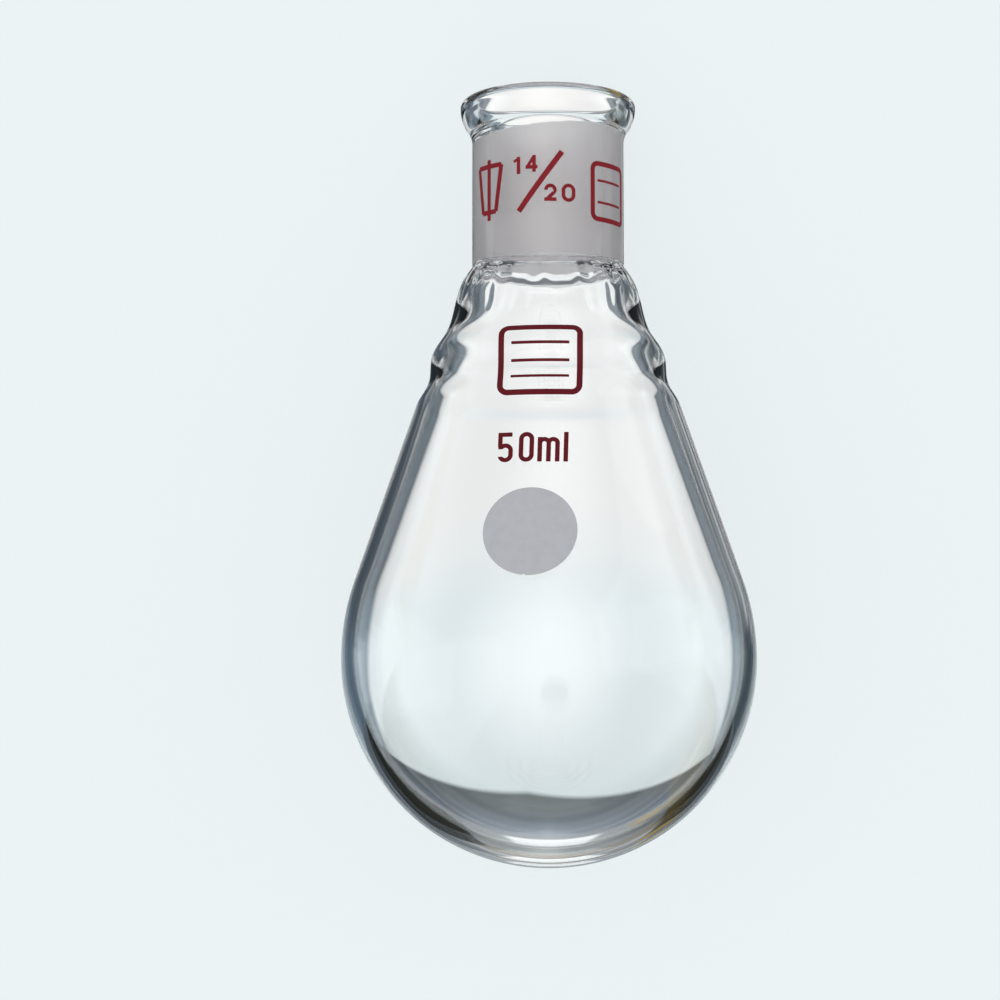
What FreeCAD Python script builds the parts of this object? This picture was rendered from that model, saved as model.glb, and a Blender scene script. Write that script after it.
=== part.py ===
# Recovery flask, 50 ml: a pear-shaped evaporating flask blown in one piece of clear borosilicate glass.
# Its neck is a 14/20 ground taper socket with a flared, fire-polished lip.
# The round bottom can't stand, so the flask lies on its side: its belly and its lip touch the ground.
# Row frame: +Z up, +Y along the flask towards the mouth, origin under the middle of its box.
import FreeCAD, Part
import math
import os
from FreeCAD import Placement, Rotation, Vector

# Body: a round bottom, a fuller belly and a straight cone up to the neck
body_diameter = 49.0
total_length = 91.5
belly_bend_radius = 28.0
side_wall = 1.5
base_wall = 2.0

# Neck and ground socket: 14.5 mm at the mouth, narrowing by one in ten over its 20 mm
neck_diameter = 18.2
socket_mouth_bore = 14.5
socket_taper = 0.1
socket_length = 20.0
throat_nose_radius = 0.9
throat_nose_turn = 72.0

# Lip: the neck flares out and ends in a full round
lip_diameter = 21.0
lip_thickness = 2.1
flare_height = 4.25
mouth_flare_height = 3.05
flare_hollow_share = 0.35

# Shoulder: the cone is a little wider than the neck where the two were sealed, and the flame
# left waves in it, as (drop below the seal, offset outside, offset inside) from the plain cone
seal_step = 0.73
seal_fillet_radius = 1.2
seal_fillet_turn = 38.0
shoulder_waves = [
    (1.7, -0.40, -0.70),
    (4.8, -0.36, -0.45),
    (8.2, -0.50, -0.30),
    (11.2, 0.20, 0.12),
    (14.1, -0.50, -0.30),
    (17.2, 0.0, 0.0),
]

# Worked out from the sizes above
body_radius = body_diameter / 2
neck_radius = neck_diameter / 2
lip_radius = lip_diameter / 2
lip_round = lip_thickness / 2
lip_centre_height = total_length - lip_round
seal_height = total_length - socket_length


def socket_radius(height):
    """Radius of the ground bore at a height on the flask's axis."""
    return (socket_mouth_bore - socket_taper * (total_length - height)) / 2


def cone_slope():
    """Angle of the shoulder's cone from the axis: from the seal it touches the belly's bend."""
    across = neck_radius + seal_step - (body_radius - belly_bend_radius)
    along = seal_height - body_radius
    return math.atan2(along, across) - math.acos(belly_bend_radius / math.hypot(across, along))


slope = cone_slope()


def turned(centre, radius, angle):
    """Point on a circle in the outline's plane, its angle counted from outwards towards the mouth."""
    return Vector(centre[0] + radius * math.cos(angle), 0, centre[1] + radius * math.sin(angle))


def heading(lean):
    """Direction up the flask that leans in towards the axis by an angle."""
    return Vector(-math.sin(lean), 0, math.cos(lean))


def round_edge(centre, radius, start, end):
    """Arc about a centre (distance from the axis, height) between two angles."""
    points = [turned(centre, radius, angle) for angle in (start, (start + end) / 2, end)]
    return Part.Arc(*points).toShape()


def straight_edge(start, end):
    return Part.LineSegment(start, end).toShape()


def smooth_edge(points, first_direction, last_direction):
    """Smooth curve through the points that leaves and arrives in the given directions."""
    curve = Part.BSplineCurve()
    curve.interpolate(Points=points, InitialTangent=first_direction, FinalTangent=last_direction)
    return curve.toShape()


def flare_edges(start, end):
    """Two arcs that carry a wall out from start to end, parallel to the axis at both."""
    out = end.x - start.x
    rise = end.z - start.z
    turn = 2 * math.atan(out / rise)
    radii = rise / math.sin(turn)
    hollow = flare_hollow_share * radii
    crown = radii - hollow
    return [
        round_edge((start.x + hollow, start.z), hollow, math.pi, math.pi - turn),
        round_edge((end.x - crown, end.z), crown, -turn, 0),
    ]


def wall_outline(pole_height, radius, bend_radius, offsets):
    """One face of the body's wall: its edges from the pole to the waves, and the waves' points."""
    centre_height = pole_height + radius
    bend_centre = (radius - bend_radius, centre_height)
    bend_end = turned(bend_centre, bend_radius, slope)
    wave_points = []
    for drop, offset in reversed(offsets):
        height = seal_height - drop
        cone_radius = bend_end.x - (height - bend_end.z) * math.tan(slope)
        wave_points.append(Vector(cone_radius + offset, 0, height))
    edges = [
        round_edge((0, centre_height), radius, -math.pi / 2, 0),
        round_edge(bend_centre, bend_radius, 0, slope),
        straight_edge(bend_end, wave_points[0]),
    ]
    return edges, wave_points


def outer_outline():
    """Outside of the flask from the pole to the lip's widest point."""
    offsets = [(drop, outside) for drop, outside, inside in shoulder_waves]
    edges, wave_points = wall_outline(0, body_radius, belly_bend_radius, offsets)
    seal = Vector(neck_radius, 0, seal_height)
    fillet_centre = (neck_radius + seal_fillet_radius, seal_height)
    fillet_end = math.pi + math.radians(seal_fillet_turn)
    fillet_foot = turned(fillet_centre, seal_fillet_radius, fillet_end)
    flare_start = Vector(neck_radius, 0, lip_centre_height - flare_height)
    lip_side = Vector(lip_radius, 0, lip_centre_height)
    waves = smooth_edge(wave_points + [fillet_foot], heading(slope), heading(fillet_end - math.pi))
    edges.append(waves)
    edges.append(round_edge(fillet_centre, seal_fillet_radius, fillet_end, math.pi))
    edges.append(straight_edge(seal, flare_start))
    return edges + flare_edges(flare_start, lip_side)


def inner_outline():
    """Inside of the flask from the pole through the ground socket to the lip."""
    cavity_radius = body_radius - side_wall
    cavity_bend_radius = belly_bend_radius - side_wall
    offsets = [(drop, inside) for drop, outside, inside in shoulder_waves]
    edges, wave_points = wall_outline(base_wall, cavity_radius, cavity_bend_radius, offsets)
    throat = Vector(socket_radius(seal_height), 0, seal_height)
    nose_centre = (throat.x + throat_nose_radius, seal_height)
    nose_end = math.pi + math.radians(throat_nose_turn)
    nose_foot = turned(nose_centre, throat_nose_radius, nose_end)
    ground_top_height = lip_centre_height - mouth_flare_height
    ground_top = Vector(socket_radius(ground_top_height), 0, ground_top_height)
    waves = smooth_edge(wave_points + [nose_foot], heading(slope), heading(nose_end - math.pi))
    edges.append(waves)
    edges.append(round_edge(nose_centre, throat_nose_radius, nose_end, math.pi))
    edges.append(straight_edge(throat, ground_top))
    return edges + flare_edges(ground_top, Vector(lip_radius - lip_thickness, 0, lip_centre_height))


def upright_flask():
    """The whole flask on its own axis, with its pole at the origin."""
    lip = round_edge((lip_radius - lip_round, lip_centre_height), lip_round, 0, math.pi)
    axis = straight_edge(Vector(0, 0, 0), Vector(0, 0, base_wall))
    edges = outer_outline() + [lip] + inner_outline() + [axis]
    outline = Part.Wire(Part.__sortEdges__(edges))
    return Part.Face(outline).revolve(Vector(0, 0, 0), Vector(0, 0, 1), 360)


def rest_tilt():
    """How far the neck dips when the belly and the lip both touch the ground."""
    across = lip_radius - lip_round - (body_radius - belly_bend_radius)
    along = lip_centre_height - body_radius
    spread = math.asin((belly_bend_radius - lip_round) / math.hypot(across, along))
    return math.degrees(spread - math.atan2(across, along))


def lying_flask():
    """The flask on its side, its mouth towards +Y, its box centred over the origin."""
    flask = upright_flask()
    flask.Placement = Placement(Vector(0, 0, 0), Rotation(Vector(1, 0, 0), -90 - rest_tilt()))
    box = flask.optimalBoundingBox(False)
    flask.translate(Vector(0, -(box.YMin + box.YMax) / 2, -box.ZMin))
    return flask


os.makedirs("parts", exist_ok=True)
lying_flask().exportStep("parts/flask.step")
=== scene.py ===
import math
import bpy
import numpy as np
from mathutils import Matrix, Vector


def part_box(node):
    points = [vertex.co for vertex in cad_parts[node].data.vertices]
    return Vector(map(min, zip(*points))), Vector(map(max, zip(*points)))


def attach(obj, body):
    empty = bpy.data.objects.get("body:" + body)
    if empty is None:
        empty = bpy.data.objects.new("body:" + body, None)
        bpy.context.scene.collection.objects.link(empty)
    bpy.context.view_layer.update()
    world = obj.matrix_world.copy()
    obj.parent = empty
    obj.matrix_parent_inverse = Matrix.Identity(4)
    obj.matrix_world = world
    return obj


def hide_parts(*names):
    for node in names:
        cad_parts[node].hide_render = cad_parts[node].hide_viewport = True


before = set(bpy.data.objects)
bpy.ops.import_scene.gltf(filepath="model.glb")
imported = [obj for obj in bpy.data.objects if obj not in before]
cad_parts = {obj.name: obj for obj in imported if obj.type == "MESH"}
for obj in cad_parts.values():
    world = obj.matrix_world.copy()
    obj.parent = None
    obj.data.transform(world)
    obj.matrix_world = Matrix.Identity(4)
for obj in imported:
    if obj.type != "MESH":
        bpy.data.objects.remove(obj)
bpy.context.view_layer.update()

# The flask's sizes, as the solid has them, in metres
mm = 0.001
body_radius = 24.5 * mm
total_length = 91.5 * mm
belly_bend_radius = 28.0 * mm
side_wall = 1.5 * mm
base_wall = 2.0 * mm
neck_radius = 9.1 * mm
socket_mouth_radius = 7.25 * mm
socket_radius_taper = 0.05
socket_length = 20.0 * mm
throat_nose_radius = 0.9 * mm
throat_nose_turn = math.radians(72)
lip_radius = 10.5 * mm
lip_round = 1.05 * mm
flare_height = 4.25 * mm
mouth_flare_height = 3.05 * mm
flare_hollow_share = 0.35
seal_step = 0.73 * mm
seal_fillet_radius = 1.2 * mm
seal_fillet_turn = math.radians(38)

# Waves of the shoulder: (drop below the seal, outer offset, inner offset), in millimetres
shoulder_waves = [
    (1.7, -0.40, -0.70),
    (4.8, -0.36, -0.45),
    (8.2, -0.50, -0.30),
    (11.2, 0.20, 0.12),
    (14.1, -0.50, -0.30),
    (17.2, 0.0, 0.0),
]

# Ripples round the inside below the seal, as (number of waves, share, turn). They start and end
# at drops below the seal, in millimetres.
ripple_waves = [(17, 0.6, 0.6), (29, 0.4, 2.1)]
ripple_depth = 0.07 * mm
ripple_start = 0.8
ripple_end = 4.0

# Worked out from the sizes
lip_centre_height = total_length - lip_round
seal_height = total_length - socket_length
ground_top_height = lip_centre_height - mouth_flare_height

# How finely the glass is turned
segments = 224
finest_turn = math.radians(4)
longest_step = 1.1 * mm
wave_step = 0.45 * mm
least_gap = 1e-7

# The photo's camera, in metres and degrees
look_height = 43.29 * mm
look_aside = -5.75 * mm
camera_distance = 330 * mm
camera_lift = math.radians(6.0)
camera_lens = 100.2
camera_sensor = 36.0

photo_background = (0.823, 0.888, 0.904)


def cone_slope():
    """Angle of the shoulder's cone from the axis: from the seal it touches the belly's bend."""
    across = neck_radius + seal_step - (body_radius - belly_bend_radius)
    along = seal_height - body_radius
    return math.atan2(along, across) - math.acos(belly_bend_radius / math.hypot(across, along))


def rest_tilt():
    """How far the neck dips when the belly and the lip both touch the ground."""
    across = lip_radius - lip_round - (body_radius - belly_bend_radius)
    along = lip_centre_height - body_radius
    spread = math.asin((belly_bend_radius - lip_round) / math.hypot(across, along))
    return spread - math.atan2(across, along)


slope = cone_slope()
tilt = rest_tilt()


def flask_to_row():
    """Places the flask's own axis, pole at the origin and mouth up, where the solid lies."""
    turn = Matrix.Rotation(-math.pi / 2 - tilt, 4, "X")
    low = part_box("flask")[0]
    belly_centre = turn @ Vector((0, 0, body_radius))
    along = low.y + body_radius - belly_centre.y
    bend_centre = turn @ Vector((0, body_radius - belly_bend_radius, body_radius))
    rise = low.z + belly_bend_radius - bend_centre.z
    return Matrix.Translation((0, along, rise)) @ turn


placed = flask_to_row()


# Outline of the glass, as (distance from the axis, height) points
def arc_points(centre, radius, start, end):
    """Points on an arc, its angles counted from outwards towards the mouth."""
    turn = abs(end - start)
    steps = math.ceil(max(turn / finest_turn, turn * radius / longest_step))
    angles = np.linspace(start, end, steps + 1)
    return np.stack([centre[0] + radius * np.cos(angles), centre[1] + radius * np.sin(angles)], 1)


def line_points(start, end):
    """Points on a straight stretch."""
    steps = math.ceil(math.dist(start, end) / longest_step)
    return np.linspace(start, end, steps + 1)


def smooth_points(knots, first_direction, last_direction):
    """Evenly bending curve through the knots that leaves and arrives in the given directions."""
    knots = np.array(knots)
    spans = np.linalg.norm(np.diff(knots, axis=0), axis=1)
    chords = np.diff(knots, axis=0) / spans[:, None]
    system = np.eye(len(knots))
    rates = np.zeros_like(knots)
    rates[0], rates[-1] = first_direction, last_direction
    for i in range(1, len(knots) - 1):
        before, after = spans[i - 1], spans[i]
        system[i, i - 1 : i + 2] = after, 2 * (before + after), before
        rates[i] = 3 * (after * chords[i - 1] + before * chords[i])
    slopes = np.linalg.solve(system, rates)
    pieces = []
    for i, span in enumerate(spans):
        share = np.linspace(0, 1, math.ceil(span / wave_step) + 1)[:, None]
        rise = share * share * (3 - 2 * share)
        leaving = share * (1 - share) ** 2 * span
        arriving = share * share * (share - 1) * span
        blend = (1 - rise) * knots[i] + rise * knots[i + 1]
        pieces.append(blend + leaving * slopes[i] + arriving * slopes[i + 1])
    return np.concatenate(pieces)


def heading(lean):
    """Direction up the flask that leans in towards the axis by an angle."""
    return np.array([-math.sin(lean), math.cos(lean)])


def flare_points(start, end):
    """Two arcs that carry a wall out from start to end, parallel to the axis at both."""
    out = end[0] - start[0]
    rise = end[1] - start[1]
    turn = 2 * math.atan(out / rise)
    radii = rise / math.sin(turn)
    hollow = flare_hollow_share * radii
    crown = radii - hollow
    return [
        arc_points((start[0] + hollow, start[1]), hollow, math.pi, math.pi - turn),
        arc_points((end[0] - crown, end[1]), crown, -turn, 0),
    ]


def body_wall(pole_height, radius, bend_radius, offsets):
    """One face of the body: its points from the pole to the waves, and the waves' knots."""
    centre_height = pole_height + radius
    bend_centre = (radius - bend_radius, centre_height)
    bend = arc_points(bend_centre, bend_radius, 0, slope)
    knots = []
    for drop, offset in reversed(offsets):
        height = seal_height - drop * mm
        cone_radius = bend[-1][0] - (height - bend[-1][1]) * math.tan(slope)
        knots.append((cone_radius + offset * mm, height))
    base = arc_points((0, centre_height), radius, -math.pi / 2, 0)
    return [base, bend, line_points(bend[-1], knots[0])], knots


def socket_radius(height):
    """Radius of the ground bore at a height on the flask's axis."""
    return socket_mouth_radius - socket_radius_taper * (total_length - height)


def joined(pieces):
    """The pieces as one run of points, with none twice."""
    points = np.concatenate(pieces)
    apart = np.linalg.norm(np.diff(points, axis=0), axis=1) > least_gap
    return points[np.concatenate([[True], apart])]


def outer_outline():
    """Outside of the flask from the pole to the lip's widest point."""
    offsets = [(drop, outside) for drop, outside, inside in shoulder_waves]
    pieces, knots = body_wall(0, body_radius, belly_bend_radius, offsets)
    fillet_centre = (neck_radius + seal_fillet_radius, seal_height)
    fillet = arc_points(fillet_centre, seal_fillet_radius, math.pi + seal_fillet_turn, math.pi)
    flare_start = (neck_radius, lip_centre_height - flare_height)
    pieces.append(smooth_points(knots + [fillet[0]], heading(slope), heading(seal_fillet_turn)))
    pieces.append(fillet)
    pieces.append(line_points(fillet[-1], flare_start))
    return joined(pieces + flare_points(flare_start, (lip_radius, lip_centre_height)))


def inner_outline():
    """Inside of the flask from the pole through the ground socket to the lip."""
    cavity = body_radius - side_wall
    offsets = [(drop, inside) for drop, outside, inside in shoulder_waves]
    pieces, knots = body_wall(base_wall, cavity, belly_bend_radius - side_wall, offsets)
    throat = socket_radius(seal_height)
    nose_centre = (throat + throat_nose_radius, seal_height)
    nose = arc_points(nose_centre, throat_nose_radius, math.pi + throat_nose_turn, math.pi)
    ground_top = (socket_radius(ground_top_height), ground_top_height)
    pieces.append(smooth_points(knots + [nose[0]], heading(slope), heading(throat_nose_turn)))
    pieces.append(nose)
    pieces.append(line_points(nose[-1], ground_top))
    mouth = (lip_radius - 2 * lip_round, lip_centre_height)
    return joined(pieces + flare_points(ground_top, mouth))


def new_object(name, vertices, faces):
    """A smooth mesh that rides on the flask, its points given on the flask's own axis."""
    mesh = bpy.data.meshes.new(name)
    mesh.from_pydata(vertices, [], faces)
    mesh.transform(placed)
    mesh.validate()
    mesh.shade_smooth()
    piece = bpy.data.objects.new(name, mesh)
    bpy.context.scene.collection.objects.link(piece)
    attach(piece, "root")
    return piece


def ripple_offsets(rings, around):
    """Small ripples that the flame left round the inside, just below the seal."""
    place = np.arange(len(rings))[:, None]
    inside = place > np.argmax(rings[:, 1])
    drop = (seal_height - rings[:, 1:]) / mm
    reach = np.clip((drop - ripple_start) / (ripple_end - ripple_start), 0, 1)
    waves = sum(share * np.cos(count * around + turn) for count, share, turn in ripple_waves)
    return inside * ripple_depth * np.sin(math.pi * reach) ** 2 * waves


def turned_glass():
    """The whole flask: one closed outline from pole to pole, turned about the axis."""
    outer = outer_outline()
    inner = inner_outline()
    lip = arc_points((lip_radius - lip_round, lip_centre_height), lip_round, 0, math.pi)
    outline = joined([outer, lip, inner[::-1]])
    rings = outline[1:-1]
    around = np.linspace(0, 2 * math.pi, segments, endpoint=False)
    across = rings[:, :1] * np.sin(around)
    out = -rings[:, :1] * np.cos(around)
    up = np.repeat(rings[:, 1:], segments, axis=1)
    scale = 1 + ripple_offsets(rings, around) / rings[:, :1]
    vertices = np.stack([across * scale, out * scale, up], 2).reshape(-1, 3).tolist()
    vertices.append([0, 0, outline[0][1]])
    vertices.append([0, 0, outline[-1][1]])
    first_pole = len(vertices) - 2
    last_pole = len(vertices) - 1
    last_ring = (len(rings) - 1) * segments
    faces = []
    for k in range(segments):
        following = (k + 1) % segments
        faces.append((first_pole, following, k))
        faces.append((last_pole, last_ring + k, last_ring + following))
        for ring in range(0, last_ring, segments):
            faces.append((ring + k, ring + following, ring + segments + following, ring + segments + k))
    return new_object("flask_glass", vertices, faces), outline


glass, glass_outline = turned_glass()
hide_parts("flask")


# A mix node's colour sockets: its share, its two colours, and what it gives out
mix_colour_inputs = (0, 6, 7)
mix_colour_output = 2


class Nodes:
    """Short way to add and link shader nodes."""

    def __init__(self, tree):
        self.tree = tree
        tree.nodes.clear()

    def add(self, kind, inputs=None, **settings):
        node = self.tree.nodes.new(kind)
        for key, value in settings.items():
            setattr(node, key, value)
        for key, value in (inputs or {}).items():
            self.feed(node.inputs[key], value)
        return node

    def feed(self, socket, value):
        if isinstance(value, bpy.types.NodeSocket):
            self.tree.links.new(value, socket)
        else:
            socket.default_value = value

    def math(self, operation, *values):
        node = self.add("ShaderNodeMath", dict(enumerate(values)), operation=operation)
        return node.outputs[0]

    def ramp(self, value, low, high, out_low=0.0, out_high=1.0):
        names = ["Value", "From Min", "From Max", "To Min", "To Max"]
        inputs = dict(zip(names, [value, low, high, out_low, out_high]))
        return self.add("ShaderNodeMapRange", inputs, interpolation_type="SMOOTHSTEP").outputs[0]

    def colours(self, value, stops):
        """Colour by a value, from (value, colour) stops in rising order."""
        low, high = stops[0][0], stops[-1][0]
        inputs = {"Value": value, "From Min": low, "From Max": high}
        place = self.add("ShaderNodeMapRange", inputs).outputs[0]
        node = self.add("ShaderNodeValToRGB", {"Fac": place})
        elements = node.color_ramp.elements
        elements.remove(elements[1])
        for index, (at, colour) in enumerate(stops):
            element = elements[0] if index == 0 else elements.new((at - low) / (high - low))
            element.color = (*colour, 1.0)
        return node.outputs["Color"]

    def mix(self, share, first, second):
        node = self.add("ShaderNodeMix", {}, data_type="RGBA")
        for index, value in zip(mix_colour_inputs, (share, first, second)):
            self.feed(node.inputs[index], value)
        return node.outputs[mix_colour_output]

    def multiply(self, first, second):
        product = self.mix(1.0, first, second)
        product.node.blend_type = "MULTIPLY"
        return product


def new_material(name):
    """A material with an empty tree, and its output node."""
    material = bpy.data.materials.new(name)
    material.use_nodes = True
    nodes = Nodes(material.node_tree)
    output = nodes.add("ShaderNodeOutputMaterial")
    return material, nodes, output


# Materials
glass_tint = (0.985, 0.995, 1.0, 1.0)
glass_index = 1.473
glass_inputs = {"Base Color": glass_tint, "IOR": glass_index, "Transmission Weight": 1.0}
frost_colour = (0.95, 0.90, 0.905, 1.0)
frost_roughness = 0.5
frost_cover = 0.7
frost_edge = (0.10, 0.35)
frost_edge_noise_scale = 700.0
frost_edge_noise_height = 0.3
ground_skew = 0.8 * mm
ground_margin = 0.4 * mm
outside_ground = -1.0
enamel_shine = 0.16
cloud_scale = 900.0
grain_scale = 6000.0
grain_strength = 0.25
grain_depth = 0.02 * mm


def clear_material():
    """Clear borosilicate glass with a fire-polished face."""
    material, nodes, output = new_material("clear_glass")
    body = nodes.add("ShaderNodeBsdfPrincipled", {**glass_inputs, "Roughness": 0.0})
    nodes.tree.links.new(body.outputs[0], output.inputs["Surface"])
    return material


def frost_share(nodes):
    """How far the glass is ground matt: fully inside the ground stretch, with a ragged edge."""
    ground = nodes.add("ShaderNodeAttribute", attribute_name="ground_depth").outputs["Fac"]
    place = nodes.add("ShaderNodeTexCoord").outputs["Object"]
    noise_inputs = {"Vector": place, "Scale": frost_edge_noise_scale, "Detail": 2.0}
    edge_noise = nodes.add("ShaderNodeTexNoise", noise_inputs)
    ragged = nodes.math("MULTIPLY_ADD", edge_noise.outputs["Fac"], frost_edge_noise_height, ground)
    return nodes.ramp(ragged, *frost_edge)


def ground_material():
    """Glass ground matt: its face scatters most of the light both ways instead of passing it on."""
    material, nodes, output = new_material("ground_glass")
    share = frost_share(nodes)
    roughness = nodes.math("MULTIPLY", share, frost_roughness)
    body = nodes.add("ShaderNodeBsdfPrincipled", {**glass_inputs, "Roughness": roughness})
    matt = nodes.add("ShaderNodeBsdfDiffuse", {"Color": frost_colour})
    passed_on = nodes.add("ShaderNodeBsdfTranslucent", {"Color": frost_colour})
    scatter = nodes.add("ShaderNodeMixShader", {0: 0.5, 1: matt.outputs[0], 2: passed_on.outputs[0]})
    matt_share = nodes.math("MULTIPLY", share, frost_cover)
    face = nodes.add("ShaderNodeMixShader", {0: matt_share, 1: body.outputs[0], 2: scatter.outputs[0]})
    nodes.tree.links.new(face.outputs[0], output.inputs["Surface"])
    return material


def enamel_material(name, colour, darker, roughness):
    """Ceramic enamel fired onto the glass: nearly matt, a little uneven in tone and thickness."""
    material, nodes, output = new_material(name)
    place = nodes.add("ShaderNodeTexCoord").outputs["Object"]
    cloud = nodes.add("ShaderNodeTexNoise", {"Vector": place, "Scale": cloud_scale, "Detail": 4.0})
    grain = nodes.add("ShaderNodeTexNoise", {"Vector": place, "Scale": grain_scale, "Detail": 2.0})
    tone = nodes.ramp(cloud.outputs["Fac"], 0.35, 0.7)
    tint = nodes.mix(tone, (*colour, 1.0), (*darker, 1.0))
    bump_inputs = {
        "Height": grain.outputs["Fac"],
        "Strength": grain_strength,
        "Distance": grain_depth,
    }
    bump = nodes.add("ShaderNodeBump", bump_inputs)
    enamel = nodes.add(
        "ShaderNodeBsdfPrincipled",
        {
            "Base Color": tint,
            "Roughness": roughness,
            "Specular IOR Level": enamel_shine,
            "Normal": bump.outputs["Normal"],
        },
    )
    nodes.tree.links.new(enamel.outputs[0], output.inputs["Surface"])
    return material


clear_glass = clear_material()
ground_glass = ground_material()
red_enamel = enamel_material("red_enamel", (0.20, 0.006, 0.012), (0.17, 0.005, 0.010), 0.5)
# Painted shade: the body's figures take the neck's red enamel at about half its brightness. On the
# neck, ground glass behind the enamel scatters light through it; the clear body glass does not, and
# this darker copy stands in for that loss of light.
red_enamel_painted_shade = enamel_material("red_enamel_painted_shade", (0.105, 0.003, 0.008), (0.088, 0.003, 0.007), 0.5)
grey_enamel = enamel_material("grey_enamel", (0.405, 0.418, 0.442), (0.383, 0.396, 0.42), 0.6)
glass.data.materials.append(clear_glass)
glass.data.materials.append(ground_glass)


def mark_ground_zone():
    """Gives the bore the ground glass, and each point there its depth inside the ground stretch."""
    rings = glass_outline[1:-1]
    top_ring = int(np.argmax(rings[:, 1]))
    margin = ground_skew + ground_margin
    depths = np.full((len(rings), segments), outside_ground)
    in_bore = np.zeros(len(rings), bool)
    skew = ground_skew * np.sin(np.linspace(0, 2 * math.pi, segments, endpoint=False))
    for ring in range(top_ring, len(rings)):
        height = rings[ring, 1]
        in_bore[ring] = seal_height - margin < height < ground_top_height + margin
        depths[ring] = np.minimum(ground_top_height + skew - height, height - seal_height) / mm
    attribute = glass.data.attributes.new("ground_depth", "FLOAT", "POINT")
    poles = [outside_ground, outside_ground]
    attribute.data.foreach_set("value", np.concatenate([depths.ravel(), poles]))
    vertex_in_bore = np.repeat(in_bore, segments).tolist() + [False, False]
    for face in glass.data.polygons:
        if any(vertex_in_bore[k] for k in face.vertices):
            face.material_index = 1


mark_ground_zone()


# Fired marking: flat figures cut from distance fields and laid on the glass
enamel_rise = 0.04 * mm
enamel_sink = 0.01 * mm
climb_step = 0.2 * mm


def bar(place, start, end, width):
    """Distance field of a straight stroke with square ends."""
    start, end = np.array(start), np.array(end)
    length = math.dist(start, end)
    along = (end - start) / length
    middle = place - (start + end) / 2
    lengthwise = np.abs(middle @ along) - length / 2
    sideways = np.abs(middle @ np.array([-along[1], along[0]])) - width / 2
    outside = np.hypot(np.maximum(lengthwise, 0), np.maximum(sideways, 0))
    return outside + np.minimum(np.maximum(lengthwise, sideways), 0)


def round_box(place, centre, half_size, corner):
    """Distance field of a filled box with round corners."""
    reach = np.abs(place - np.array(centre)) - np.array(half_size) + corner
    outside = np.hypot(np.maximum(reach[..., 0], 0), np.maximum(reach[..., 1], 0))
    return outside + np.minimum(np.maximum(reach[..., 0], reach[..., 1]), 0) - corner


def loop(place, centre, half_size, corner, width):
    """Distance field of the outline of a round-cornered box, drawn inside its size."""
    inset = width / 2
    middle = (half_size[0] - inset, half_size[1] - inset)
    return np.abs(round_box(place, centre, middle, corner - inset)) - inset


def beyond(place, point, direction):
    """Distance past a line through the point, counted in the direction."""
    return (place - np.array(point)) @ np.array(direction)


def both(*fields):
    return np.maximum.reduce(fields)


def either(*fields):
    return np.minimum.reduce(fields)


def digit_zero(place, left, foot, width, height, stroke):
    centre = (left + width / 2, foot + height / 2)
    return loop(place, centre, (width / 2, height / 2), width / 2, stroke)


def digit_one(place, left, foot, height, stroke):
    top = foot + height
    stem = bar(place, (left + stroke, foot), (left + stroke, top), stroke)
    flag_foot = (left - 0.4 * stroke, top - 1.3 * stroke)
    flag = bar(place, (left + stroke, top - stroke / 2), flag_foot, 0.8 * stroke)
    return either(stem, both(flag, beyond(place, (0, top), (0, 1))))


def digit_two(place, left, foot, width, height, stroke):
    """A round head cut open at its lower left, a slanted neck and a flat foot."""
    head_centre = (left + width / 2, foot + height - width / 2)
    head = loop(place, head_centre, (width / 2, width / 2), width / 2, stroke)
    opening = round_box(place, (left, head_centre[1] - width / 2), (0.75 * width, 0.5 * width), 0)
    neck_top = (left + width - 0.75 * stroke, head_centre[1] - 0.22 * width)
    neck_foot = (left + 0.6 * stroke, foot + 0.4 * stroke)
    sole = bar(place, (left, foot + stroke / 2), (left + width, foot + stroke / 2), stroke)
    neck = both(bar(place, neck_top, neck_foot, stroke), beyond(place, (0, foot), (0, -1)))
    return either(both(head, -opening), neck, sole)


def digit_four(place, left, foot, width, height, stroke):
    top = foot + height
    stem_at = left + 0.72 * width
    cross_height = foot + 0.3 * height
    stem = bar(place, (stem_at, foot), (stem_at, top), stroke)
    cross = bar(place, (left, cross_height), (left + width, cross_height), stroke)
    slant_foot = (left + 0.45 * stroke, cross_height)
    slant = bar(place, slant_foot, (stem_at, top - 0.3 * stroke), 0.9 * stroke)
    return either(stem, cross, both(slant, beyond(place, (0, top), (0, 1))))


def digit_five(place, left, foot, width, height, stroke):
    """A flat top, a short stem at the left and a bowl that is open at its left."""
    top = foot + height
    bowl_height = 0.63 * height
    centre = (left + width / 2, foot + bowl_height / 2)
    bowl = loop(place, centre, (width / 2, bowl_height / 2), width / 2, stroke)
    opening = round_box(place, (left, centre[1]), (width / 2, 0.2 * bowl_height), 0)
    stem = bar(place, (left + stroke / 2, foot + 0.5 * height), (left + stroke / 2, top), stroke)
    flat = bar(place, (left, top - stroke / 2), (left + 0.94 * width, top - stroke / 2), stroke)
    return either(both(bowl, -opening), stem, flat)


def letter_m(place, left, foot, width, height, stroke):
    arch = (width + stroke) / 4
    parts = [bar(place, (left + stroke / 2, foot), (left + stroke / 2, foot + height), stroke)]
    for side in (arch, width - arch):
        parts.append(loop(place, (left + side, foot), (arch, height), arch, stroke))
    return both(either(*parts), beyond(place, (0, foot), (0, -1)))


def volume_mark(place):
    """The rated volume, fifty millilitres, in narrow upright figures."""
    stroke = 0.52
    foot = -1.85
    height = 3.7
    figures = [
        digit_five(place, -4.15, foot, 1.76, height, stroke),
        digit_zero(place, -1.72, foot, 1.72, height, stroke),
        letter_m(place, 0.4, foot, 2.5, 3.05, stroke),
        bar(place, (3.6, foot), (3.6, foot + height), stroke),
    ]
    return either(*figures)


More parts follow.
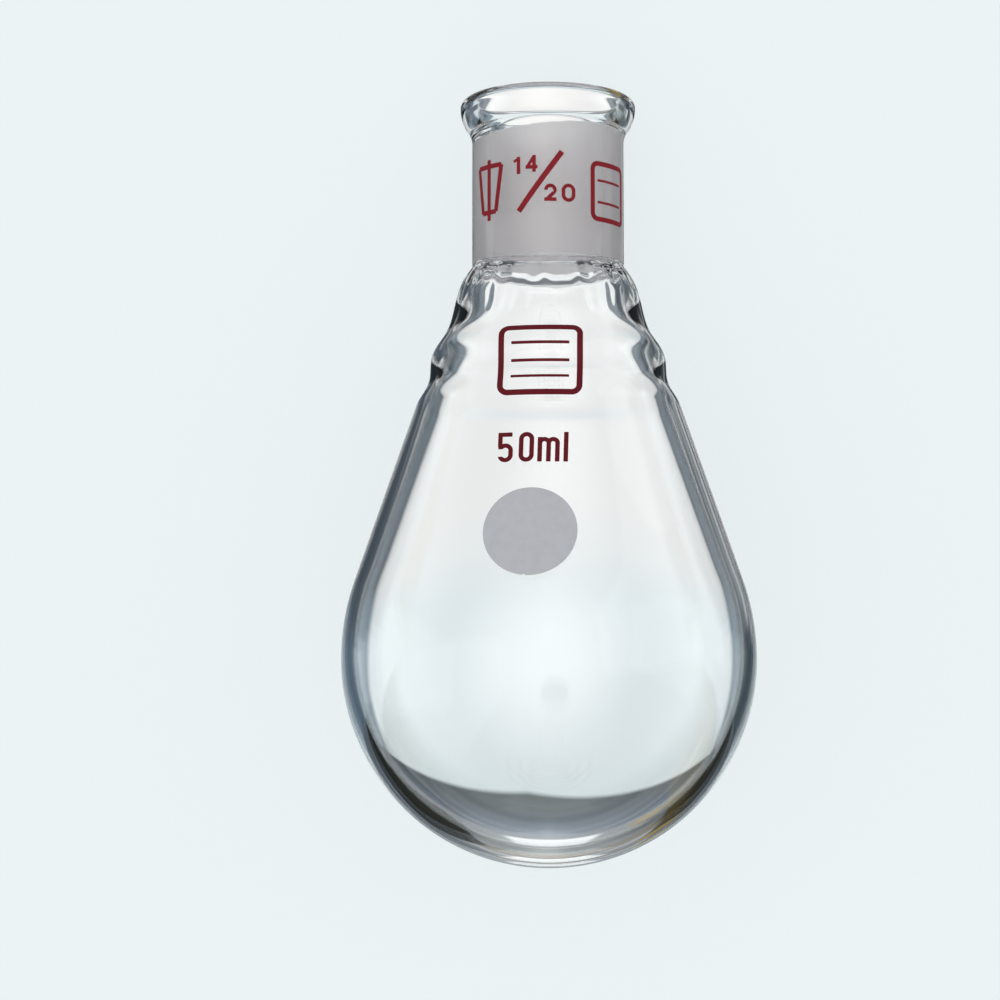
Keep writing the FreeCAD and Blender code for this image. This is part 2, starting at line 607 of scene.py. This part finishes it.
def joint_size_mark(place):
    """The joint's size, 14 over 20, with a long slanted stroke between the numbers."""
    stroke = 0.42
    figures = [
        digit_one(place, -4.1, 1.05, 2.05, stroke),
        digit_four(place, -2.8, 1.2, 1.42, 2.0, stroke),
        bar(place, (-3.65, -3.4), (1.5, 3.6), 0.66),
        digit_two(place, -0.6, -2.3, 1.45, 2.05, stroke),
        digit_zero(place, 1.45, -2.35, 1.65, 2.15, stroke),
    ]
    return either(*figures)


def taper_sign(place):
    """A plain sign for a taper: a narrow funnel shape and its centre line."""
    stroke = 0.56
    top, foot = 2.9, -2.6
    wide, narrow = 2.0, 1.15
    corners = [(-wide, top), (wide, top), (narrow, foot), (-narrow, foot)]
    sides = [bar(place, corners[k - 1], corners[k], stroke) for k in range(4)]
    centre_line = bar(place, (0, -3.6), (0, 3.7), stroke)
    return either(centre_line, *sides)


def blank_label(place, half_width, half_height, stroke, rules):
    """An empty label: a round-cornered frame with ruled lines to write on."""
    corner = 0.28 * half_height
    rule_end = 0.68 * half_width
    rule_width = 0.5 * stroke
    fields = [loop(place, (0, 0), (half_width, half_height), corner, stroke)]
    for height in rules:
        fields.append(bar(place, (-rule_end, height), (rule_end, height), rule_width))
    return either(*fields)


def body_label(place):
    return blank_label(place, 4.95, 4.6, 0.7, (-2.0, 0.1, 2.2))


def neck_label(place):
    return blank_label(place, 3.2, 3.6, 0.58, (-1.3, 1.3))


def marking_spot(place):
    """A round spot to write on, with a small nick where the screen lifted."""
    radius = 5.32
    nick_radius = 0.22
    nick_at = (-0.5, -5.4)
    spot = np.hypot(place[..., 0], place[..., 1]) - radius
    nick = np.hypot(place[..., 0] - nick_at[0], place[..., 1] - nick_at[1]) - nick_radius
    return both(spot, -nick)


def cut_figure(field, half_size, cell):
    """Cuts the area where the field is below zero out of a grid: its points and its polygons."""
    counts = [math.ceil(2 * half / cell) for half in half_size]
    lines = [np.linspace(-half, half, count + 1) for half, count in zip(half_size, counts)]
    grid = np.stack(np.meshgrid(*lines, indexing="ij"), -1)
    values = field(grid)
    points = []
    found = {}

    def point_at(first, second):
        """Point on the grid line between two corners where the field is zero, or one corner itself."""
        key = (min(first, second), max(first, second))
        if key not in found:
            share = 0.0 if first == second else values[key[0]] / (values[key[0]] - values[key[1]])
            found[key] = len(points)
            points.append(grid[key[0]] + share * (grid[key[1]] - grid[key[0]]))
        return found[key]

    polygons = []
    low = np.minimum.reduce([values[:-1, :-1], values[1:, :-1], values[1:, 1:], values[:-1, 1:]])
    for i, j in np.argwhere(low < 0).tolist():
        corners = [(i, j), (i + 1, j), (i + 1, j + 1), (i, j + 1)]
        polygon = []
        for here, after in zip(corners, corners[1:] + corners[:1]):
            if values[here] < 0:
                polygon.append(point_at(here, here))
            if (values[here] < 0) != (values[after] < 0):
                polygon.append(point_at(here, after))
        polygons.append(polygon)
    return np.array(points), polygons


outer_points = outer_outline()
outer_lengths = np.concatenate([[0], np.cumsum(np.linalg.norm(np.diff(outer_points, axis=0), axis=1))])


def on_glass(points, height, turn, rise):
    """Lays flat points, in millimetres, on the outside of the glass about a place on it."""
    middle = np.interp(height, outer_points[:, 1], outer_lengths)
    lengths = middle + points[:, 1] * mm
    wall = [np.interp(lengths, outer_lengths, outer_points[:, axis]) for axis in (0, 1)]
    ahead = [np.interp(lengths + climb_step, outer_lengths, outer_points[:, axis]) for axis in (0, 1)]
    climb = np.stack([ahead[0] - wall[0], ahead[1] - wall[1]])
    climb /= np.linalg.norm(climb, axis=0)
    angle = turn + points[:, 0] * mm / wall[0]
    out = wall[0] + rise * climb[1]
    up = wall[1] - rise * climb[0]
    return np.stack([out * np.sin(angle), -out * np.cos(angle), up], 1)


def enamel_figure(name, field, half_size, cell, height, turn, material):
    """A figure of fired enamel, a thin closed plate laid on the glass."""
    points, polygons = cut_figure(field, half_size, cell)
    count = len(points)
    top = on_glass(points, height, turn, enamel_rise)
    underside = on_glass(points, height, turn, -enamel_sink)
    edges = {}
    for polygon in polygons:
        for here, after in zip(polygon, polygon[1:] + polygon[:1]):
            edges[(here, after)] = (after, here) in edges
            if edges[(here, after)]:
                edges[(after, here)] = True
    faces = [tuple(polygon) for polygon in polygons]
    faces += [tuple(k + count for k in reversed(polygon)) for polygon in polygons]
    faces += [(b, a, a + count, b + count) for (a, b), shared in edges.items() if not shared]
    piece = new_object(name, np.concatenate([top, underside]).tolist(), faces)
    piece.data.materials.append(material)


# Each figure's field, half size and grid cell in millimetres, height, turn in degrees, and enamel. The
# body's two figures take the red enamel with painted shade.
figures = [
    ("volume_mark", volume_mark, (4.4, 2.1), 0.06, 47.4, -6.1, red_enamel_painted_shade),
    ("body_label", body_label, (5.2, 4.8), 0.08, 57.8, -4.8, red_enamel_painted_shade),
    ("marking_spot", marking_spot, (5.5, 5.5), 0.12, 37.6, -6.6, grey_enamel),
    ("joint_size_mark", joint_size_mark, (4.6, 3.9), 0.06, 79.7, 0.0, red_enamel),
    ("taper_sign", taper_sign, (2.4, 3.9), 0.07, 79.3, -50.5, red_enamel),
    ("neck_label", neck_label, (3.4, 3.7), 0.07, 79.0, 52.5, red_enamel),
]
for name, field, half_size, cell, height, turn, enamel in figures:
    enamel_figure(name, field, half_size, cell, height * mm, math.radians(turn), enamel)


# Floor, world, lights and camera
floor_half_width = 2.0
floor_glow = 0.985
floor_matt_share = 0.14


def pale_floor():
    """A plain pale floor that takes only a faint shadow."""
    mesh = bpy.data.meshes.new("floor")
    half = floor_half_width
    corners = [(-half, -half, 0), (half, -half, 0), (half, half, 0), (-half, half, 0)]
    mesh.from_pydata(corners, [], [(0, 1, 2, 3)])
    floor = bpy.data.objects.new("floor", mesh)
    bpy.context.scene.collection.objects.link(floor)
    floor.visible_transmission = False
    floor.visible_glossy = False
    material, nodes, output = new_material("pale_floor")
    colour = (*photo_background, 1.0)
    glow = nodes.add("ShaderNodeEmission", {"Color": colour, "Strength": floor_glow})
    matt = nodes.add("ShaderNodeBsdfDiffuse", {"Color": colour})
    shares = {0: floor_matt_share, 1: glow.outputs[0], 2: matt.outputs[0]}
    surface = nodes.add("ShaderNodeMixShader", shares)
    nodes.tree.links.new(surface.outputs[0], output.inputs["Surface"])
    mesh.materials.append(material)


# The light table as seen from the flask, in degrees. A pair is where a change starts and ends, and a
# list holds (degrees, colour) stops, whose first and last colours go on past them. table_side_edge
# and the six lists from near_table_edge to right_behind count from the table's edge, glint_sides
# from the glint's middle, and horizon, wall_glow and ceiling_edge from level. The other places
# count from straight down, but the stops of ceiling_glow go by the lean to +X.
table_middle = 1.5
table_half_width = 9.7
table_widening = 0.33
table_side_edge = (0.0, 1.5)
table_bow = 0.24
table_front_edge = (-17.2, -17.9)
behind_start = (-9.0, -5.5)
dark_sides_end = (9.5, 12.0)
glint_middle = 1.5
glint_sides = (6.0, 4.5)
glint_front = (-37.0, -36.0)
glint_back = (-28.5, -29.5)
glint_glow = (1.45, 1.50, 1.50)
corner_front = (-27.2, -28.2)
corner_sides = (10.0, 11.5)
corner_slant = 0.7
corner_end = (-24.2, -22.6)
left_corner_reach = 10.6
amber_end = (15.5, 17.5)
amber_front = (-42.0, -38.0)
dark_corner = (0.025, 0.026, 0.022)
far_sides_reach = (40.0, 32.0)
horizon = (-38.0, -30.0)
dark_side_reach = (26.0, 34.0)
dark_side_start = (2.0, 6.0)
dark_front_start = (-42.0, -48.0)
dark_side_rise = 12.0
dark_front_rise = 30.0
room_glow = (0.66, 0.71, 0.73)
wall_glow = [
    (0.0, (0.58, 0.62, 0.64)),
    (10.0, (0.52, 0.56, 0.58)),
    (20.0, (0.42, 0.45, 0.48)),
]
ceiling_edge = (24.0, 74.0)
ceiling_glow = [
    (-0.7, (2.5, 2.42, 2.38)),
    (0.0, (2.12, 2.05, 2.02)),
    (0.7, (1.1, 1.06, 1.06)),
]
table_glow = [
    (-17.5, (0.76, 0.84, 0.85)),
    (-14.0, (0.81, 0.88, 0.89)),
    (-9.0, (0.81, 0.88, 0.89)),
    (-6.5, (0.90, 0.895, 0.88)),
    (33.0, (0.90, 0.895, 0.88)),
    (39.0, (0.16, 0.17, 0.18)),
]
near_table_edge = [
    (-11.5, (0.93, 0.93, 0.93)),
    (-7.0, (1.04, 1.035, 1.03)),
    (-1.5, (1.1, 1.09, 1.08)),
    (-0.5, (1.05, 1.05, 1.05)),
]
left_of_table = near_table_edge + [
    (1.0, (0.31, 0.36, 0.42)),
    (3.5, (0.38, 0.44, 0.51)),
    (8.0, (0.20, 0.25, 0.31)),
    (17.0, (0.09, 0.12, 0.16)),
    (29.0, (0.16, 0.20, 0.25)),
    (34.0, (0.85, 0.87, 0.92)),
]
right_of_table = near_table_edge + [
    (1.0, (0.26, 0.30, 0.34)),
    (3.0, (0.36, 0.41, 0.46)),
    (7.0, (0.05, 0.07, 0.08)),
    (20.0, (0.05, 0.065, 0.08)),
    (24.0, (0.14, 0.16, 0.17)),
    (31.0, (0.34, 0.37, 0.39)),
]
back_table_edge = [
    (-6.0, (1.0, 1.0, 1.0)),
    (-1.5, (1.13, 1.15, 1.15)),
    (0.0, (1.0, 1.0, 1.0)),
]
left_behind = back_table_edge + [
    (1.5, (0.17, 0.20, 0.23)),
    (3.8, (0.20, 0.25, 0.30)),
    (5.0, (0.15, 0.19, 0.23)),
    (7.5, (0.06, 0.08, 0.10)),
    (11.0, (0.06, 0.08, 0.10)),
    (22.0, (0.07, 0.09, 0.11)),
    (25.0, (0.08, 0.10, 0.12)),
    (29.0, (0.12, 0.145, 0.17)),
]
right_behind = back_table_edge + [
    (1.0, (0.20, 0.24, 0.26)),
    (2.5, (0.25, 0.29, 0.33)),
    (5.5, (0.18, 0.21, 0.25)),
    (7.0, (0.035, 0.05, 0.06)),
    (11.5, (0.03, 0.04, 0.05)),
    (13.5, (0.55, 0.58, 0.59)),
    (16.0, (0.80, 0.83, 0.84)),
    (19.0, (0.22, 0.25, 0.27)),
    (24.0, (0.20, 0.24, 0.26)),
    (29.0, (0.08, 0.10, 0.12)),
    (33.0, (0.12, 0.14, 0.16)),
]
far_sides = [
    (7.0, (0.85, 0.88, 0.90)),
    (13.0, (0.85, 0.87, 0.88)),
    (16.0, (0.30, 0.27, 0.26)),
    (19.0, (0.26, 0.25, 0.26)),
    (23.0, (0.80, 0.83, 0.85)),
]
front_of_table = [
    (-49.0, (0.44, 0.47, 0.48)),
    (-45.0, (0.44, 0.47, 0.48)),
    (-42.0, (0.44, 0.39, 0.32)),
    (-38.0, (0.44, 0.39, 0.32)),
    (-34.5, (0.85, 0.87, 0.87)),
    (-33.0, (0.50, 0.54, 0.56)),
    (-29.0, (0.43, 0.46, 0.48)),
    (-26.0, (0.33, 0.38, 0.44)),
    (-23.0, (0.18, 0.22, 0.26)),
    (-20.5, (0.13, 0.155, 0.17)),
    (-18.0, (0.09, 0.11, 0.11)),
]
front_shade = [
    (2.0, (1.0, 1.0, 1.0)),
    (8.0, (0.68, 0.70, 0.72)),
    (16.0, (0.68, 0.70, 0.72)),
    (26.0, (0.3, 0.32, 0.33)),
]
left_front_corner = [
    (-50.0, (0.035, 0.035, 0.03)),
    (-28.0, (0.012, 0.016, 0.015)),
]
right_front_corner = [
    (-50.0, (0.30, 0.23, 0.08)),
    (-45.0, (0.03, 0.028, 0.024)),
    (-32.8, (0.02, 0.02, 0.016)),
    (-31.8, (0.47, 0.32, 0.04)),
    (-28.0, (0.43, 0.33, 0.09)),
]


def studio_world():
    """A light table under the flask, dark beyond its edges, with grey walls and a pale ceiling.

    The camera sees plain backdrop. Aside is the angle from straight down to +X, ahead is the one
    to +Y, and elevation is the angle above level, all in degrees.
    """
    world = bpy.data.worlds.new("studio")
    bpy.context.scene.world = world
    world.use_nodes = True
    nodes = Nodes(world.node_tree)
    output = nodes.add("ShaderNodeOutputWorld")
    direction = nodes.add("ShaderNodeTexCoord").outputs["Generated"]
    split = nodes.add("ShaderNodeSeparateXYZ", {0: direction})
    across, along, up = split.outputs
    down = nodes.math("MULTIPLY", up, -1.0)
    degree = math.degrees(1)
    aside = nodes.math("MULTIPLY", nodes.math("ARCTAN2", across, down), degree)
    ahead = nodes.math("MULTIPLY", nodes.math("ARCTAN2", along, down), degree)
    elevation = nodes.math("MULTIPLY", nodes.math("ARCSINE", up), degree)

    off_middle = nodes.math("SUBTRACT", aside, table_middle)
    half_width = nodes.math("MULTIPLY_ADD", ahead, -table_widening, table_half_width)
    beside = nodes.math("SUBTRACT", nodes.math("ABSOLUTE", off_middle), half_width)
    on_right = nodes.math("GREATER_THAN", off_middle, 0.0)
    side_tables = (left_of_table, right_of_table, left_behind, right_behind)
    left_near, right_near, left_back, right_back = [nodes.colours(beside, t) for t in side_tables]
    near = nodes.mix(on_right, left_near, right_near)
    back = nodes.mix(on_right, left_back, right_back)
    sides = nodes.mix(nodes.ramp(ahead, *behind_start), near, back)
    away = nodes.math("ABSOLUTE", aside)
    off_table = nodes.ramp(beside, *table_side_edge)
    past_side = nodes.math("MULTIPLY", off_table, nodes.ramp(ahead, *dark_sides_end))
    past_side = nodes.math("MULTIPLY", past_side, nodes.ramp(away, *far_sides_reach))
    sides = nodes.mix(past_side, sides, nodes.colours(ahead, far_sides))
    lit = nodes.multiply(nodes.colours(ahead, table_glow), sides)

    shade = nodes.colours(away, front_shade)
    front = nodes.multiply(nodes.colours(ahead, front_of_table), shade)
    left_corner = nodes.colours(ahead, left_front_corner)
    right_corner = nodes.colours(ahead, right_front_corner)
    amber_reach = nodes.ramp(away, *amber_end)
    past_amber = nodes.math("MULTIPLY", amber_reach, nodes.ramp(ahead, *amber_front))
    right_corner = nodes.mix(past_amber, right_corner, (*dark_corner, 1.0))
    on_left = nodes.math("LESS_THAN", aside, 0.0)
    corner = nodes.mix(on_left, right_corner, left_corner)
    in_corner = nodes.ramp(ahead, *corner_front)
    in_corner = nodes.math("MULTIPLY", in_corner, nodes.ramp(away, *corner_sides))
    slanted = nodes.math("MULTIPLY_ADD", away, corner_slant, ahead)
    slanted = nodes.math("MULTIPLY_ADD", on_left, left_corner_reach, slanted)
    in_corner = nodes.math("MULTIPLY", in_corner, nodes.ramp(slanted, *corner_end))
    front = nodes.mix(in_corner, front, corner)
    off_glint = nodes.math("ABSOLUTE", nodes.math("SUBTRACT", aside, glint_middle))
    glint = nodes.ramp(off_glint, *glint_sides)
    glint = nodes.math("MULTIPLY", glint, nodes.ramp(ahead, *glint_front))
    glint = nodes.math("MULTIPLY", glint, nodes.ramp(ahead, *glint_back))
    front = nodes.mix(glint, front, (*glint_glow, 1.0))
    bowed = nodes.math("MULTIPLY_ADD", away, table_bow, ahead)
    table = nodes.mix(nodes.ramp(bowed, *table_front_edge), lit, front)
    side_rise = nodes.ramp(ahead, *dark_side_start, 0.0, dark_side_rise)
    side_rise = nodes.math("MULTIPLY", side_rise, nodes.ramp(away, *dark_side_reach))
    front_rise = nodes.ramp(ahead, *dark_front_start, 0.0, dark_front_rise)
    rise = nodes.math("MAXIMUM", side_rise, front_rise)
    lowered = nodes.math("SUBTRACT", elevation, rise)
    lower = nodes.mix(nodes.ramp(lowered, *horizon), table, (*room_glow, 1.0))
    ceiling = nodes.colours(across, ceiling_glow)
    walls = nodes.colours(elevation, wall_glow)
    upper = nodes.mix(nodes.ramp(elevation, *ceiling_edge), walls, ceiling)
    around = nodes.mix(nodes.math("GREATER_THAN", up, 0.0), lower, upper)
    seen = nodes.add("ShaderNodeLightPath").outputs["Is Camera Ray"]
    colour = nodes.mix(seen, around, (*photo_background, 1.0))
    background = nodes.add("ShaderNodeBackground", {"Color": colour, "Strength": 1.0})
    nodes.tree.links.new(background.outputs[0], output.inputs["Surface"])


def softbox(name, place, target, width, height, power, colour):
    """A soft rectangular light that faces the target."""
    light = bpy.data.lights.new(name, "AREA")
    light.shape = "RECTANGLE"
    light.size = width
    light.size_y = height
    light.energy = power
    light.color = colour
    lamp = bpy.data.objects.new(name, light)
    bpy.context.scene.collection.objects.link(lamp)
    away = Vector(place) - Vector(target)
    lamp.location = place
    lamp.rotation_euler = away.to_track_quat("Z", "Y").to_euler()


def photo_camera():
    """The photo's camera looks down on the lying flask, from a little below its waist."""
    data = bpy.data.cameras.new("photo_camera")
    data.sensor_width = camera_sensor
    data.lens = camera_lens
    camera = bpy.data.objects.new("photo_camera", data)
    bpy.context.scene.collection.objects.link(camera)
    pitch = tilt - camera_lift
    looked_at = placed @ Vector((look_aside, 0, look_height))
    back = Vector((0, math.sin(pitch), math.cos(pitch)))
    camera.location = looked_at + camera_distance * back
    camera.rotation_euler = (-pitch, 0, 0)
    bpy.context.scene.camera = camera


pale_floor()
studio_world()
softbox(
    "left_window",
    place=(-1.0, -0.1, 0.22),
    target=(0, -0.1, 0.22),
    width=0.66,
    height=1.05,
    power=0.78,
    colour=(1.0, 0.99, 0.97),
)
softbox(
    "right_window",
    place=(0.9, 0.5, 0.85),
    target=(0, 0.5, 0.85),
    width=1.1,
    height=1.7,
    power=2.1,
    colour=(0.96, 0.98, 1.0),
)
photo_camera()
bpy.context.scene.view_settings.view_transform = "Standard"
